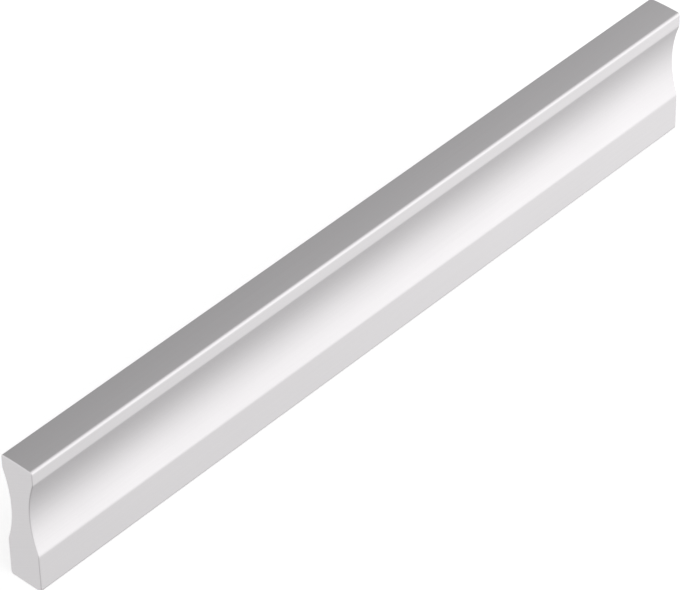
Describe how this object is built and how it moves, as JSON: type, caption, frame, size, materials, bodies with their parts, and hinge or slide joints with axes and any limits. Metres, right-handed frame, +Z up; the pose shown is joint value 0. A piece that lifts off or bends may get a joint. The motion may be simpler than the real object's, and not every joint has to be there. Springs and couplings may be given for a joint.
{
  "type": "finger pull profile",
  "caption": "Straight solid aluminium finger pull bar with a waisted section: flat mounting foot, concave finger hollows on its long sides and a rounded lip, tapped from below for screws.",
  "frame": {"origin": "centre of the mounting face, on the surface that the bar stands on", "axes": "+X along the bar, +Y across it, +Z up from the mounting face to the lip"},
  "size_m": [0.168, 0.0072, 0.0272],
  "materials": {
    "anodised_aluminium": "satin silver anodised"
  },
  "bodies": {
    "root": {"pull_profile": "anodised_aluminium"}
  },
  "joints": []
}
